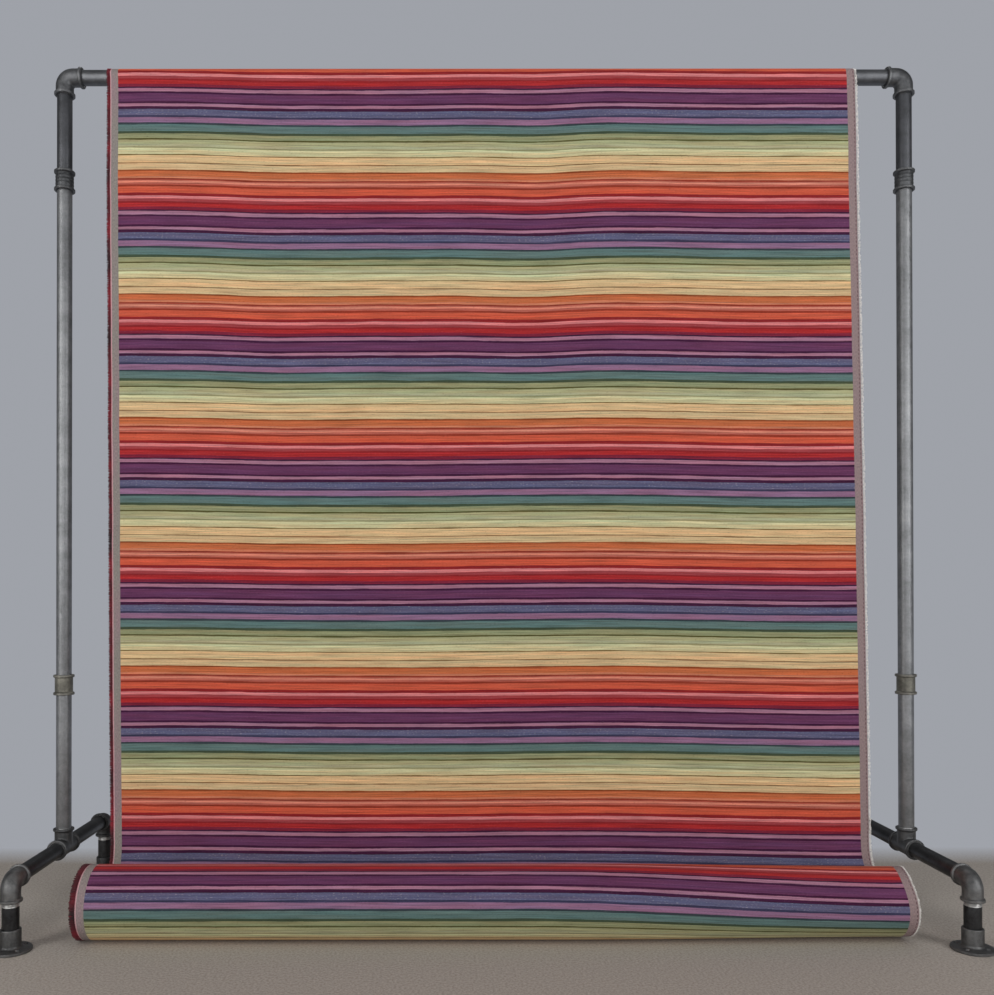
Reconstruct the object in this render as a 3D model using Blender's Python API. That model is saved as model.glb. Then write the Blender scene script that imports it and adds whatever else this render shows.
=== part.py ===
"""A bolt of striped upholstery cloth, drawn up over a stand of threaded iron pipe.

The bolt lies on the floor in front of the stand and turns on its own axis. Its cloth leaves the back
of the roll, dips in a slack loop, rises to the stand's bar, goes over it and hangs down behind.
X runs across the cloth, -Y is the front, +Z is up. The origin is on the floor, midway between the posts.
"""

import math

import bmesh
import bpy
from mathutils import Matrix, Vector

# ---------------------------------------------------------------- driving dimensions, in metres

# Pipe and fittings: the three-quarter inch size of iron pipe.
PIPE_OD = 0.02667
PIPE_WALL = 0.00287
FITTING_WALL = 0.002065  # of a fitting's body, outside the pipe's socket
BAND_LIFT = 0.0026  # how far the band round the mouth of each socket stands out from the body
BAND_WIDTH = 0.0045
BEND_INSIDE = 0.0015  # radius of the elbow's inner corner
PIPE_STOP = 0.0018  # from the end of a fitting's bend to the end of the pipe screwed into it
SCREWED_IN = 0.0143  # length of pipe inside a socket
COUPLING_LENGTH = 0.0355
COUPLING_END_GAP = 0.0060  # between the two pipe ends inside a coupling

# The stand.
POST_SPACING = 1.536
BAR_HEIGHT = 1.515
UPPER_COUPLING_DROP = 0.190  # below the bar's axis
LOWER_COUPLING_RISE = 0.294  # above the legs' axis
LEG_HEIGHT = 0.111
LEG_REACH = 0.216  # from a post's axis to a foot's axis, along Y

# The foot flanges.
FLANGE_DIAMETER = 0.066
FLANGE_PLATE = 0.0055
FLANGE_EDGE = 0.0040
HUB_WALL = 0.002865
HUB_HEIGHT = 0.0355
NIPPLE_LIFT = 0.0100  # of the nipple's lower end above the floor
SCREW_HOLE_DIAMETER = 0.0055
SCREW_CIRCLE = 0.0500
SCREW_COUNT = 4

# The cloth.
CLOTH_WIDTH = 1.352
CLOTH_THICKNESS = 0.0012
CLOTH_SHIFT_AT_BAR = -0.005  # the cloth hangs a little askew: its middle line at the bar
CLOTH_SHIFT_AT_BOLT = 0.010  # and its middle line at the bolt
TAIL_LENGTH = 0.96  # of the cut end that hangs behind the bar
FALL_LEAN = 0.016  # how far the front fall leans forward by the time it reaches the slack loop
LOOP_START_HEIGHT = 0.135
LOOP_FALL_PULL = 0.085  # handle lengths of the slack loop's curve
LOOP_BOLT_PULL = 0.060

# The bolt.
BOLT_DIAMETER = 0.1200
BOLT_AXIS_Y = -0.160
LEAVING_ANGLE = math.radians(46)  # where the cloth leaves the bolt, measured back from its top
CORE_BORE = 0.0381
CORE_WALL = 0.0030
CORE_LENGTH = 1.368

# Clearances.
SCREWED_GAP = 0.0003  # radial, between a pipe and its socket
LAID_GAP = 0.0003  # between cloth and what it lies on

# Facets.
PIPE_FACETS = 20
BOLT_FACETS = 64
CORE_FACETS = 32
HOLE_FACETS = 10
BEND_STEPS = 4
WRAP_STEPS = 12
LOOP_STEPS = 20

# ---------------------------------------------------------------- sizes that follow

pipe_radius = PIPE_OD / 2
socket_radius = pipe_radius + SCREWED_GAP
passage_radius = pipe_radius - PIPE_WALL
body_radius = socket_radius + FITTING_WALL
band_radius = body_radius + BAND_LIFT
hub_radius = socket_radius + HUB_WALL
bend_radius = body_radius + BEND_INSIDE  # of the elbow's centre line
take_out = bend_radius + PIPE_STOP  # from a fitting's centre to the end of the pipe screwed into it
fitting_reach = take_out + SCREWED_IN  # from a fitting's centre to the face of its socket
socket_depth = SCREWED_IN + SCREWED_GAP
post_x = POST_SPACING / 2
upper_coupling_height = BAR_HEIGHT - UPPER_COUPLING_DROP
lower_coupling_height = LEG_HEIGHT + LOWER_COUPLING_RISE
bolt_radius = BOLT_DIAMETER / 2
core_radius = CORE_BORE / 2 + CORE_WALL
bar_wrap_radius = pipe_radius + LAID_GAP + CLOTH_THICKNESS / 2  # to the middle of the cloth
bolt_wrap_radius = bolt_radius + LAID_GAP + CLOTH_THICKNESS / 2

# ---------------------------------------------------------------- materials


def make_material(name, color, roughness, metallic):
    material = bpy.data.materials.new(name)
    material.use_nodes = True
    shader = material.node_tree.nodes["Principled BSDF"]
    shader.inputs["Base Color"].default_value = (*color, 1.0)
    shader.inputs["Roughness"].default_value = roughness
    shader.inputs["Metallic"].default_value = metallic
    return material


def make_materials():
    return {
        "pipe": make_material("pipe_iron", (0.16, 0.165, 0.17), 0.45, 0.85),
        "base": make_material("base_iron", (0.06, 0.062, 0.065), 0.4, 0.85),
        "fitting": make_material("fitting_iron", (0.09, 0.093, 0.096), 0.55, 0.8),
        "cloth": make_material("striped_cloth", (0.45, 0.16, 0.22), 0.9, 0.0),
        "card": make_material("core_board", (0.42, 0.30, 0.19), 0.85, 0.0),
    }


# ---------------------------------------------------------------- shared tools


def clear_scene():
    for old in list(bpy.data.objects):
        bpy.data.objects.remove(old)


def add_object(name, mesh_builder, material, smooth_angle=35):
    """Makes a named object from a filled bmesh, with its faces pointing out and its round sides smooth."""
    bmesh.ops.recalc_face_normals(mesh_builder, faces=mesh_builder.faces)
    mesh = bpy.data.meshes.new(name)
    mesh_builder.to_mesh(mesh)
    mesh_builder.free()
    mesh.materials.append(material)
    mesh.shade_smooth()
    mesh.set_sharp_from_angle(angle=math.radians(smooth_angle))
    made = bpy.data.objects.new(name, mesh)
    bpy.context.scene.collection.objects.link(made)
    return made


def loft(stations, facets, closed=True):
    """Skins a row of circles, each a (centre, side, up, radius). A closed row joins its last to its first."""
    builder = bmesh.new()
    rings = []
    for centre, side, up, radius in stations:
        ring = []
        for step in range(facets):
            angle = 2 * math.pi * step / facets
            spoke = side * math.cos(angle) + up * math.sin(angle)
            ring.append(builder.verts.new(centre + radius * spoke))
        rings.append(ring)
    pairs = list(zip(rings, rings[1:]))
    if closed:
        pairs.append((rings[-1], rings[0]))
    for first, second in pairs:
        for step in range(facets):
            after = (step + 1) % facets
            builder.faces.new((first[step], first[after], second[after], second[step]))
    if not closed:
        builder.faces.new(rings[0])
        builder.faces.new(rings[-1])
    return builder


def turned(profile, facets, closed=True):
    """Turns (height, radius) points about the local Z axis. A closed profile makes a ring with a bore."""
    side, up = Vector((1, 0, 0)), Vector((0, 1, 0))
    stations = [(Vector((0, 0, height)), side, up, radius) for height, radius in profile]
    return loft(stations, facets, closed)


def tube_profile(length, outer, inner):
    return [(0, inner), (length, inner), (length, outer), (0, outer)]


def pointing(direction):
    """The turn that takes the local Z axis to one of the row's axes."""
    return Vector((0, 0, 1)).rotation_difference(Vector(direction)).to_euler()


# ---------------------------------------------------------------- pipe and fittings


def add_pipe(name, start, direction, length, material):
    pipe = add_object(name, turned(tube_profile(length, pipe_radius, passage_radius), PIPE_FACETS), material)
    pipe.location = start
    pipe.rotation_euler = pointing(direction)
    return pipe


def elbow_line(distance_in):
    """A point on the elbow's centre line, and the turn there, at a share of its bend from 0 to 1."""
    turn = distance_in * math.pi / 2
    middle = Vector((bend_radius, 0, -bend_radius))
    outward = Vector((-math.sin(turn), 0, math.cos(turn)))
    return middle + bend_radius * outward, outward


def elbow_stations():
    """Circles over the outside from the +X mouth to the -Z mouth, then back through the bore."""
    sideways = Vector((0, 1, 0))
    up, out = Vector((0, 0, 1)), Vector((-1, 0, 0))

    def at_x_mouth(back, radius):
        return Vector((fitting_reach - back, 0, 0)), sideways, up, radius

    def at_z_mouth(back, radius):
        return Vector((0, 0, back - fitting_reach)), sideways, out, radius

    def along_bend(radius, order):
        made = []
        for step in order:
            point, outward = elbow_line(step / BEND_STEPS)
            made.append((point, sideways, outward, radius))
        return made

    outside = [
        at_x_mouth(0, band_radius),
        at_x_mouth(BAND_WIDTH, band_radius),
        at_x_mouth(BAND_WIDTH, body_radius),
        *along_bend(body_radius, range(BEND_STEPS + 1)),
        at_z_mouth(BAND_WIDTH, body_radius),
        at_z_mouth(BAND_WIDTH, band_radius),
        at_z_mouth(0, band_radius),
    ]
    inside = [
        at_z_mouth(0, socket_radius),
        at_z_mouth(socket_depth, socket_radius),
        at_z_mouth(socket_depth, passage_radius),
        *along_bend(passage_radius, range(BEND_STEPS, -1, -1)),
        at_x_mouth(socket_depth, passage_radius),
        at_x_mouth(socket_depth, socket_radius),
        at_x_mouth(0, socket_radius),
    ]
    return outside + inside


def add_elbow(name, place, turn, material):
    """An elbow whose mouths face the row's +X, turned about Z by turn, and -Z."""
    elbow = add_object(name, loft(elbow_stations(), PIPE_FACETS), material)
    elbow.location = place
    elbow.rotation_euler = (0, 0, turn)
    return elbow


def add_coupling(name, place, material):
    half = COUPLING_LENGTH / 2
    profile = [
        (-half, socket_radius),
        (half, socket_radius),
        (half, band_radius),
        (half - BAND_WIDTH, band_radius),
        (half - BAND_WIDTH, body_radius),
        (BAND_WIDTH - half, body_radius),
        (BAND_WIDTH - half, band_radius),
        (-half, band_radius),
    ]
    coupling = add_object(name, turned(profile, PIPE_FACETS), material)
    coupling.location = place
    return coupling


def add_helper(name, builder, material, parent, turn):
    """A hidden solid that a Boolean joins or cuts with. It follows its parent."""
    helper = add_object(name, builder, material)
    helper.parent = parent
    helper.rotation_euler = turn
    helper.hide_render = True
    helper.display_type = "WIRE"
    return helper


def add_boolean(target, helper, operation):
    step = target.modifiers.new(operation.lower(), "BOOLEAN")
    step.object = helper
    step.operation = operation
    step.solver = "EXACT"


def add_tee(name, place, material):
    """A tee whose run lies along Y and whose branch points up."""
    past = BAND_WIDTH  # how far a cutter runs past the face that it opens
    run_outside = [
        (-fitting_reach, band_radius),
        (BAND_WIDTH - fitting_reach, band_radius),
        (BAND_WIDTH - fitting_reach, body_radius),
        (fitting_reach - BAND_WIDTH, body_radius),
        (fitting_reach - BAND_WIDTH, band_radius),
        (fitting_reach, band_radius),
    ]
    run_bore = [
        (-fitting_reach - past, socket_radius),
        (socket_depth - fitting_reach, socket_radius),
        (socket_depth - fitting_reach, passage_radius),
        (fitting_reach - socket_depth, passage_radius),
        (fitting_reach - socket_depth, socket_radius),
        (fitting_reach + past, socket_radius),
    ]
    tee = add_object(name, turned(run_outside, PIPE_FACETS, closed=False), material)
    tee.location = place
    tee.rotation_euler = pointing((0, 1, 0))
    along, upright = (0, 0, 0), (math.pi / 2, 0, 0)  # upright undoes the tee's own turn
    branch_outside = [(0, body_radius)] + run_outside[3:]
    branch_bore = [(0, passage_radius)] + run_bore[3:]
    for label, profile, turn, operation in (
        ("branch", branch_outside, upright, "UNION"),
        ("run_drill", run_bore, along, "DIFFERENCE"),
        ("branch_drill", branch_bore, upright, "DIFFERENCE"),
    ):
        solid = turned(profile, PIPE_FACETS, closed=False)
        add_boolean(tee, add_helper(f"{name}_{label}", solid, material, tee, turn), operation)
    return tee


def add_flange(name, place, material):
    """A floor flange: a round plate with four screw holes, and the socket that stands on it."""
    profile = [
        (0, socket_radius),
        (HUB_HEIGHT, socket_radius),
        (HUB_HEIGHT, hub_radius),
        (FLANGE_PLATE, hub_radius),
        (FLANGE_EDGE, FLANGE_DIAMETER / 2),
        (0, FLANGE_DIAMETER / 2),
    ]
    flange = add_object(name, turned(profile, PIPE_FACETS), material)
    flange.location = place
    drills = bmesh.new()
    for step in range(SCREW_COUNT):
        angle = 2 * math.pi * step / SCREW_COUNT
        across = Vector((math.cos(angle), math.sin(angle), 0)) * SCREW_CIRCLE / 2
        bmesh.ops.create_cone(
            drills,
            cap_ends=True,
            segments=HOLE_FACETS,
            radius1=SCREW_HOLE_DIAMETER / 2,
            radius2=SCREW_HOLE_DIAMETER / 2,
            depth=4 * FLANGE_PLATE,
            matrix=Matrix.Translation(across),
        )
    add_boolean(flange, add_helper(name + "_drills", drills, material, flange, (0, 0, 0)), "DIFFERENCE")
    return flange


# ---------------------------------------------------------------- the stand


def add_foot(side, end, x, y, turn, materials):
    """The flange, the threaded nipple that stands in it, and the elbow that joins the nipple to the leg."""
    place = f"{side}_{end}"
    add_flange(f"floor_flange_{place}", (x, y, 0), materials["fitting"])
    nipple_length = LEG_HEIGHT - take_out - NIPPLE_LIFT
    add_pipe(f"foot_nipple_{place}", (x, y, NIPPLE_LIFT), (0, 0, 1), nipple_length, materials["base"])
    add_elbow(f"foot_elbow_{place}", (x, y, LEG_HEIGHT), turn, materials["fitting"])


def add_side(side, x, materials):
    """One post with its base: everything on one side of the stand."""
    leg_length = LEG_REACH - 2 * take_out
    add_tee(f"base_tee_{side}", (x, 0, LEG_HEIGHT), materials["fitting"])
    for end, direction in (("front", -1), ("rear", 1)):
        leg_start = (x, direction * take_out, LEG_HEIGHT)
        add_pipe(f"leg_pipe_{side}_{end}", leg_start, (0, direction, 0), leg_length, materials["base"])
        add_foot(side, end, x, direction * LEG_REACH, -direction * math.pi / 2, materials)

    half_gap = COUPLING_END_GAP / 2
    for name, bottom, top in (
        ("lower_post", LEG_HEIGHT + take_out, lower_coupling_height - half_gap),
        ("main_post", lower_coupling_height + half_gap, upper_coupling_height - half_gap),
        ("upper_post", upper_coupling_height + half_gap, BAR_HEIGHT - take_out),
    ):
        add_pipe(f"{name}_{side}", (x, 0, bottom), (0, 0, 1), top - bottom, materials["pipe"])
    add_coupling(f"lower_coupling_{side}", (x, 0, lower_coupling_height), materials["fitting"])
    add_coupling(f"upper_coupling_{side}", (x, 0, upper_coupling_height), materials["fitting"])
    add_elbow(f"top_elbow_{side}", (x, 0, BAR_HEIGHT), 0 if x < 0 else math.pi, materials["fitting"])


def add_stand(materials):
    add_side("left", -post_x, materials)
    add_side("right", post_x, materials)
    bar_start = (take_out - post_x, 0, BAR_HEIGHT)
    add_pipe("crossbar", bar_start, (1, 0, 0), POST_SPACING - 2 * take_out, materials["pipe"])


# ---------------------------------------------------------------- the drawn cloth


def cloth_shift(height):
    """The cloth's middle line, in X, at a height on its front fall."""
    share = (BAR_HEIGHT - height) / (BAR_HEIGHT - LOOP_START_HEIGHT)
    share = min(1.0, max(0.0, share))
    return CLOTH_SHIFT_AT_BAR + share * (CLOTH_SHIFT_AT_BOLT - CLOTH_SHIFT_AT_BAR)


def bezier(first, first_pull, second_pull, second, share):
    rest = 1 - share
    return (
        rest**3 * first
        + 3 * rest**2 * share * first_pull
        + 3 * rest * share**2 * second_pull
        + share**3 * second
    )


def on_bolt(angle_back):
    """A point (y, z) in the middle of cloth that lies on the bolt, and the way the cloth runs on over it."""
    spoke = Vector((math.sin(angle_back), math.cos(angle_back)))
    point = Vector((BOLT_AXIS_Y, bolt_radius)) + bolt_wrap_radius * spoke
    forward = Vector((-math.cos(angle_back), math.sin(angle_back)))
    return point, forward


def tail_line():
    cut_end = Vector((bar_wrap_radius, BAR_HEIGHT - TAIL_LENGTH))
    return [cut_end, Vector((bar_wrap_radius, BAR_HEIGHT - LAID_GAP))]


def over_bar_line():
    made = []
    for step in range(WRAP_STEPS + 1):
        angle = math.pi * step / WRAP_STEPS
        spoke = Vector((math.cos(angle), math.sin(angle)))
        made.append(Vector((0, BAR_HEIGHT)) + bar_wrap_radius * spoke)
    return made


def fall_line():
    top = Vector((-bar_wrap_radius, BAR_HEIGHT - LAID_GAP))
    return [top, Vector((-bar_wrap_radius - FALL_LEAN, LOOP_START_HEIGHT + LAID_GAP))]


def loop_line():
    """The slack between the fall and the bolt: one curve that starts along the fall and ends along the bolt."""
    start = Vector((-bar_wrap_radius - FALL_LEAN, LOOP_START_HEIGHT))
    fall_top, fall_foot = fall_line()
    downwards = (fall_foot - fall_top).normalized()
    end, forward = on_bolt(LEAVING_ANGLE)
    made = []
    for step in range(LOOP_STEPS + 1):
        share = step / LOOP_STEPS
        pulls = start + downwards * LOOP_FALL_PULL, end - forward * LOOP_BOLT_PULL
        made.append(bezier(start, *pulls, end, share))
    return made


def add_cloth_band(name, line, material):
    """A strip of cloth as wide as the bolt, whose middle follows a line of (y, z) points."""
    builder = bmesh.new()
    sections = []
    for index, point in enumerate(line):
        before = line[max(index - 1, 0)]
        after = line[min(index + 1, len(line) - 1)]
        along = (after - before).normalized()
        across = Vector((-along.y, along.x)) * CLOTH_THICKNESS / 2
        middle = cloth_shift(point.y)
        corners = []
        for offset, side in ((across, -1), (across, 1), (-across, 1), (-across, -1)):
            place = point + offset
            corners.append(builder.verts.new((middle + side * CLOTH_WIDTH / 2, place.x, place.y)))
        sections.append(corners)
    for first, second in zip(sections, sections[1:]):
        for corner in range(4):
            after = (corner + 1) % 4
            builder.faces.new((first[corner], first[after], second[after], second[corner]))
    builder.faces.new(sections[0])
    builder.faces.new(sections[-1])
    return add_object(name, builder, material)


def add_drawn_cloth(material):
    add_cloth_band("cloth_tail", tail_line(), material)
    add_cloth_band("cloth_over_bar", over_bar_line(), material)
    add_cloth_band("cloth_front_fall", fall_line(), material)
    add_cloth_band("cloth_slack_loop", loop_line(), material)


# ---------------------------------------------------------------- the bolt


def add_bolt(materials):
    """The wound cloth and the board tube it is wound on. Both follow the empty that marks their axis."""
    axis = bpy.data.objects.new("bolt_axis", None)
    axis.location = (CLOTH_SHIFT_AT_BOLT, BOLT_AXIS_Y, bolt_radius)
    axis.rotation_euler = pointing((1, 0, 0))
    bpy.context.scene.collection.objects.link(axis)
    wound_bore = core_radius + SCREWED_GAP
    for name, length, outer, inner, facets, material in (
        ("cloth_roll", CLOTH_WIDTH, bolt_radius, wound_bore, BOLT_FACETS, materials["cloth"]),
        ("core_tube", CORE_LENGTH, core_radius, CORE_BORE / 2, CORE_FACETS, materials["card"]),
    ):
        piece = add_object(name, turned(tube_profile(length, outer, inner), facets), material)
        piece.parent = axis
        piece.location = (0, 0, -length / 2)


# ---------------------------------------------------------------- the whole

clear_scene()
finishes = make_materials()
add_stand(finishes)
add_drawn_cloth(finishes["cloth"])
add_bolt(finishes)
bpy.context.view_layer.update()
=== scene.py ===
# %% [markdown]
# # A bolt of striped cloth, drawn up over a pipe stand
#
# The real object is a roll of upholstery cloth that lies on the floor. Its cloth leaves the back of the
# roll, dips in a slack loop, rises in front of a stand made of threaded iron pipe, goes over the stand's
# bar and hangs down behind. This file gives that object its looks. The frame that it loads already has
# every part at its real size, so each piece here is measured from the frame and never placed by eye.

# %% Load the frame
import math
import random

import bmesh
import bpy
import numpy as np
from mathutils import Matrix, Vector, noise


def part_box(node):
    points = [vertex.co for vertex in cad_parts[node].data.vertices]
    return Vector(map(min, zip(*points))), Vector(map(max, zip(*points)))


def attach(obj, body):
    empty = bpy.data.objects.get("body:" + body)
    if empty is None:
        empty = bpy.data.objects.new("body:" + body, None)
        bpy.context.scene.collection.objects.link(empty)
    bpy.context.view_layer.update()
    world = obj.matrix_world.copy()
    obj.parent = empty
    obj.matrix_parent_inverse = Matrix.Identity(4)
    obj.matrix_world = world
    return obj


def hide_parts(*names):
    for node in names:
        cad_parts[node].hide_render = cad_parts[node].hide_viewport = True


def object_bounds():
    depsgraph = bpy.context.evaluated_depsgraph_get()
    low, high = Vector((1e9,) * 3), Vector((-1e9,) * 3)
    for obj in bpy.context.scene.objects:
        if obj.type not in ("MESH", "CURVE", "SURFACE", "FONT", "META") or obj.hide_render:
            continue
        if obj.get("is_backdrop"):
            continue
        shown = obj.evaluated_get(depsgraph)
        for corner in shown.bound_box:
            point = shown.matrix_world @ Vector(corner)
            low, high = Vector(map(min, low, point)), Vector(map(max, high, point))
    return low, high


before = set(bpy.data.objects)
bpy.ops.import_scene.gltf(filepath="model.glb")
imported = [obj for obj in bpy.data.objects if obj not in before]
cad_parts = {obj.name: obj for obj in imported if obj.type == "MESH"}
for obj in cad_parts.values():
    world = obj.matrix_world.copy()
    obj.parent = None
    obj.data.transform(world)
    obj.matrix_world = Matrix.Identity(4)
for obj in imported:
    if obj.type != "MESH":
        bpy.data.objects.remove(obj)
sizes = {"cad": [list(corner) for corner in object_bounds()]}

# %% [markdown]
# ## Working by hand, in code
#
# An operator acts on whatever is selected, so every step starts by selecting nothing. These few helpers are
# the moves that a modeller repeats all day: start clean, pick faces by where they are, apply a modifier,
# and put the finished piece in its place with its place kept in the mesh.


# %% Helpers for working by hand
SIDES = 64  # how many sides a round shape is drawn with
SAME_POINT = 1e-6  # points nearer than this, in metres, are one point


def select_nothing():
    if bpy.context.object and bpy.context.object.mode != "OBJECT":
        bpy.ops.object.mode_set(mode="OBJECT")
    bpy.ops.object.select_all(action="DESELECT")


def take(piece):
    """Selects one piece and makes it the active one."""
    select_nothing()
    piece.select_set(True)
    bpy.context.view_layer.objects.active = piece
    return piece


def name_it(name):
    made = bpy.context.object
    made.name = made.data.name = name
    return made


def pick_faces(piece, test):
    """In edit mode, selects the faces whose centre and normal pass the test."""
    bpy.ops.mesh.select_mode(type="FACE")
    bpy.ops.mesh.select_all(action="DESELECT")
    shell = bmesh.from_edit_mesh(piece.data)
    for face in shell.faces:
        face.select_set(test(face.calc_center_median(), face.normal))
    bmesh.update_edit_mesh(piece.data)


def apply_modifier(piece, kind, **settings):
    take(piece)
    modifier = piece.modifiers.new(kind.lower(), kind)
    for setting, value in settings.items():
        setattr(modifier, setting, value)
    bpy.ops.object.modifier_apply(modifier=modifier.name)
    return piece


def smooth(piece, degrees=38):
    take(piece)
    bpy.ops.object.shade_smooth_by_angle(angle=math.radians(degrees))
    return piece


def put(piece, place, turn=(0, 0, 0)):
    """Turns and moves a piece, then keeps its place in the mesh, so its object stays at the origin."""
    take(piece)
    piece.location, piece.rotation_euler = place, turn
    bpy.ops.object.transform_apply(location=True, rotation=True, scale=True)
    return piece


def copy_to(pattern, name, place, turn=(0, 0, 0)):
    take(pattern)
    bpy.ops.object.duplicate(linked=False)
    return put(name_it(name), place, turn)


def face_outwards(piece, merge=0.0):
    """Merges points nearer than `merge`, then turns every face of a skin outwards."""
    take(piece)
    bpy.ops.object.mode_set(mode="EDIT")
    bpy.ops.mesh.select_all(action="SELECT")
    if merge:
        bpy.ops.mesh.remove_doubles(threshold=merge)
    bpy.ops.mesh.normals_make_consistent(inside=False)
    bpy.ops.object.mode_set(mode="OBJECT")
    return piece


def join_up(name, pieces):
    """Joins pieces into one object that keeps the first one's place."""
    take(pieces[0])
    for other in pieces[1:]:
        other.select_set(True)
    bpy.ops.object.join()
    return name_it(name)


def turn_on_lathe(name, outline, steps=SIDES, closed=True):
    """Draws half an outline of (out, up) points, closed or left open, and spins it once round the Z axis."""
    select_nothing()
    bpy.ops.mesh.primitive_plane_add(size=0.001)
    piece = name_it(name)
    bpy.ops.object.mode_set(mode="EDIT")
    bpy.ops.mesh.select_mode(type="VERT")
    bpy.ops.mesh.select_all(action="SELECT")
    bpy.ops.mesh.merge(type="CENTER")
    bpy.ops.transform.translate(value=(outline[0][0], 0, outline[0][1]))
    ends = outline[1:] + outline[:1] if closed else outline[1:]
    for (out_a, up_a), (out_b, up_b) in zip(outline, ends):
        stride = (out_b - out_a, 0, up_b - up_a)
        bpy.ops.mesh.extrude_vertices_move(TRANSFORM_OT_translate={"value": stride})
    bpy.ops.mesh.select_all(action="SELECT")
    bpy.ops.mesh.remove_doubles(threshold=SAME_POINT)
    bpy.ops.mesh.spin(steps=steps, angle=math.tau, center=(0, 0, 0), axis=(0, 0, 1))
    bpy.ops.object.mode_set(mode="OBJECT")
    return face_outwards(piece, SAME_POINT)


def give_finish(piece, *finishes):
    piece.data.materials.clear()
    for finish in finishes:
        piece.data.materials.append(finish)
    return piece


def stands_for(piece, node, body, slot):
    """Ties a finished piece to the frame: what it replaces and what it moves with. The slot is not used."""
    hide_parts(*([node] if isinstance(node, str) else node))
    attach(piece, body)
    return piece


# %% [markdown]
# ## The camera
#
# The object is seen from in front, from just above knee height, with the camera held almost level. Upright
# lines then stay upright. The lens is shifted rather than tilted, as with a view camera, which keeps the
# frame of the picture round the stand. The last fraction of a degree of tilt and roll is that of a hand.

# %% Camera
CAMERA_PLACE = (-0.0848, -1.7451, 0.5582)
TILT, ROLL, YAW = 0.349, 0.047, -0.028  # degrees up, clockwise and to the left
SENSOR_WIDTH = 36.0
LENS = 34.588
SHIFT = (0.0584, 0.0975)

camera_turn = (math.radians(90 + TILT), math.radians(ROLL), math.radians(YAW))
bpy.ops.object.camera_add(location=CAMERA_PLACE, rotation=camera_turn)
camera = name_it("camera")
camera.data.sensor_width = SENSOR_WIDTH
camera.data.lens = LENS
camera.data.shift_x, camera.data.shift_y = SHIFT
camera.data.clip_start, camera.data.clip_end = 0.01, 60
bpy.context.scene.camera = camera

# %% [markdown]
# ## Finishes are made of nodes
#
# A finish is a small graph. A coordinate feeds a pattern, the pattern feeds a ramp of colours, and the ramp
# feeds the shader. The helper below adds a node, sets its values and links its inputs in one line, so that
# each graph can be read from top to bottom like a recipe.


# %% Helpers for finishes
def grey(level):
    return (level, level, level)


class Recipe:
    """A material and the nodes in it, added one line at a time."""

    def __init__(self, name, **sockets):
        self.material = bpy.data.materials.new(name)
        self.material.use_nodes = True
        self.tree = self.material.node_tree
        self.shader = self.tree.nodes["Principled BSDF"]
        for socket, value in sockets.items():
            self.shader.inputs[socket.replace("_", " ")].default_value = value

    def add(self, kind, inputs=(), **settings):
        """Adds a node. inputs maps a socket, by name or number, to a value or to another node's output."""
        node = self.tree.nodes.new(kind)
        for setting, value in settings.items():
            setattr(node, setting, value)
        for socket, value in dict(inputs).items():
            if isinstance(value, bpy.types.NodeSocket):
                self.tree.links.new(value, node.inputs[socket])
            else:
                node.inputs[socket].default_value = value
        return node

    def here(self):
        return self.add("ShaderNodeTexCoord").outputs["Object"]

    def metres(self):
        """The two measures that the cloth's UV map holds."""
        return self.add("ShaderNodeUVMap", uv_map="metres").outputs[0]

    def parts(self, where):
        return self.add("ShaderNodeSeparateXYZ", {0: where}).outputs

    def math(self, operation, first, second=0.0, third=0.0):
        node = self.add("ShaderNodeMath", {0: first, 1: second, 2: third}, operation=operation)
        return node.outputs[0]

    def spots(self, where, scale, detail=3.0, roughness=0.55):
        """Cloudy noise, about 1/scale metres across, from 0 to 1."""
        inputs = {"Vector": where, "Scale": scale, "Detail": detail, "Roughness": roughness}
        return self.add("ShaderNodeTexNoise", inputs).outputs[0]

    def streaks(self, where, across, down, detail=2.0, roughness=0.55, deep=1):
        """Noise that is about 1/across metres wide and 1/down metres long."""
        stretched = self.add("ShaderNodeMapping", {"Vector": where, "Scale": (across, down, deep)}).outputs[0]
        return self.spots(stretched, 1, detail, roughness)

    def ramp(self, value, stops, interpolation="LINEAR"):
        node = self.add("ShaderNodeValToRGB", {0: value})
        node.color_ramp.interpolation = interpolation
        elements = node.color_ramp.elements
        while len(elements) < len(stops):
            elements.new(0.5)
        for element, (position, color) in zip(elements, stops):
            element.position, element.color = position, (*color, 1)
        return node.outputs[0]

    def mix(self, share, first, second, blend="MIX"):
        node = self.add("ShaderNodeMix", data_type="RGBA", blend_type=blend)
        for socket, value in (("Factor_Float", share), ("A_Color", first), ("B_Color", second)):
            target = next(s for s in node.inputs if s.identifier == socket)
            if isinstance(value, bpy.types.NodeSocket):
                self.tree.links.new(value, target)
            else:
                target.default_value = value if socket == "Factor_Float" else (*value, 1)
        return next(s for s in node.outputs if s.identifier == "Result_Color")

    def between(self, value, low, high, start=0.0, end=1.0):
        """Where value runs from start to end, the result runs from low to high, and no further."""
        inputs = {"Value": value, "From Min": start, "From Max": end, "To Min": low, "To Max": high}
        return self.add("ShaderNodeMapRange", inputs).outputs[0]

    def mask(self, value, start, end, first=0.0, last=1.0):
        """A grey ramp from first at start to last at end."""
        return self.ramp(value, [(start, grey(first)), (end, grey(last))])

    def bump(self, height, distance, strength=1.0, below=None):
        inputs = {"Height": height, "Distance": distance, "Strength": strength}
        if below is not None:
            inputs["Normal"] = below
        return self.add("ShaderNodeBump", inputs).outputs[0]

    def into(self, **links):
        for socket, output in links.items():
            self.tree.links.new(output, self.shader.inputs[socket.replace("_", " ")])
        return self.material


def dyed(red, green, blue):
    """A colour given as a dyer or a paint chart gives it, from 0 to 255, as the shader wants it."""
    return tuple(
        c / 3294.6 if c <= 10.31 else ((c / 255 + 0.055) / 1.055) ** 2.4 for c in (red, green, blue)
    )
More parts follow.
